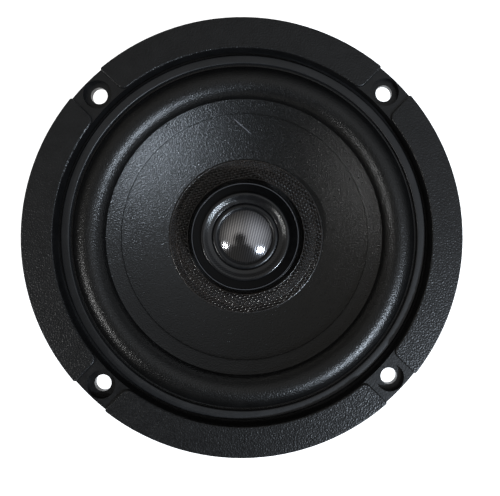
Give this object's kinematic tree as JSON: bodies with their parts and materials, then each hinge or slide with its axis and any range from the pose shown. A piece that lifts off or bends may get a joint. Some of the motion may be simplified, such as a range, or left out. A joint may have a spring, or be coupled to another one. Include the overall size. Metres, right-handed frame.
{
  "type": "coaxial car speaker",
  "caption": "Round two-way coaxial speaker: rubber-edged cone, centre dome tweeter on a stem, cast frame with screw lands, ring magnet and spade terminals.",
  "frame": {"origin": "centre of the screw circle, on the rear face of the flange that bears on the panel", "axes": "+Z along the speaker's axis towards the listener; the screw holes lie on the diagonals of X and Y; the terminals are at -45 degrees, between +X and -Y"},
  "size_m": [0.165, 0.165, 0.06],
  "materials": {
    "basket": "die-cast aluminium under a coarse textured black paint",
    "front_gasket_ring": "smooth satin black rubber",
    "surround": "satin black butyl rubber",
    "cone": "smooth satin black injection-moulded plastic",
    "dust_seal_ring": "coarse open weave, resin-stiffened, brown-black",
    "spider": "resin-stiffened corrugated cotton, straw yellow",
    "tinsel_leads": "braided copper tinsel",
    "top_plate": "zinc-plated steel",
    "magnet_ring": "sintered ferrite, ground faces",
    "yoke": "zinc-plated steel",
    "chassis_screws": "zinc-plated steel",
    "tweeter_stem": "turned aluminium",
    "tweeter_stem_nut": "zinc-plated steel",
    "tweeter_housing": "satin black moulded plastic with a polished rim",
    "tweeter_cup": "zinc-plated steel",
    "tweeter_magnet": "nickel-plated rare-earth magnet",
    "tweeter_top_plate": "zinc-plated steel",
    "tweeter_felt_pad": "pressed wool felt",
    "tweeter_mounting_ring": "black moulded plastic",
    "tweeter_face_ring": "glossy black, fine woven relief",
    "tweeter_dome": "coated silver-grey woven dome",
    "tweeter_surround": "black coated cloth",
    "tweeter_coil_former": "aluminium foil tube",
    "tweeter_coil_winding": "enamelled copper wire",
    "voice_coil_former": "amber polyimide film tube",
    "voice_coil_winding": "enamelled copper wire",
    "terminal_board": "brown laminated insulating board",
    "terminal_tab_positive": "tinned brass",
    "terminal_tab_negative": "tinned brass",
    "terminal_rivets": "brass eyelet rivets",
    "crossover_capacitor": "dark blue shrunk plastic jacket",
    "capacitor_leads": "tinned copper wire",
    "tweeter_leads": "black insulated wire",
    "lead_sleeve": "black shrunk sleeve"
  },
  "bodies": {
    "frame": {"basket": "basket", "front_gasket_ring": "front_gasket_ring", "top_plate": "top_plate", "magnet_ring": "magnet_ring", "yoke": "yoke", "chassis_screws": "chassis_screws", "tweeter_stem": "tweeter_stem", "tweeter_stem_nut": "tweeter_stem_nut", "tweeter_housing": "tweeter_housing", "tweeter_cup": "tweeter_cup", "tweeter_magnet": "tweeter_magnet", "tweeter_top_plate": "tweeter_top_plate", "tweeter_felt_pad": "tweeter_felt_pad", "tweeter_mounting_ring": "tweeter_mounting_ring", "tweeter_face_ring": "tweeter_face_ring", "terminal_board": "terminal_board", "terminal_tab_positive": "terminal_tab_positive", "terminal_tab_negative": "terminal_tab_negative", "terminal_rivets": "terminal_rivets", "crossover_capacitor": "crossover_capacitor", "capacitor_leads": "capacitor_leads", "tweeter_leads": "tweeter_leads", "lead_sleeve": "lead_sleeve"},
    "cone": {"cone": "cone", "dust_seal_ring": "dust_seal_ring", "voice_coil_former": "voice_coil_former", "voice_coil_winding": "voice_coil_winding", "surround": "surround", "spider": "spider", "tinsel_leads": "tinsel_leads"},
    "tweeter_dome": {"tweeter_dome": "tweeter_dome", "tweeter_coil_former": "tweeter_coil_former", "tweeter_coil_winding": "tweeter_coil_winding", "tweeter_surround": "tweeter_surround"}
  },
  "joints": [
    {"name": "cone_travel", "type": "slide", "parent": "frame", "child": "cone", "axis": [0, 0, 1], "range_m": [-0.004, 0.004], "stiffness_N_per_m": 1700, "deforming": ["surround", "spider", "tinsel_leads"]},
    {"name": "tweeter_dome_travel", "type": "slide", "parent": "frame", "child": "tweeter_dome", "axis": [0, 0, 1], "range_m": [-0.0003, 0.0003], "stiffness_N_per_m": 200, "deforming": ["tweeter_surround"]}
  ]
}
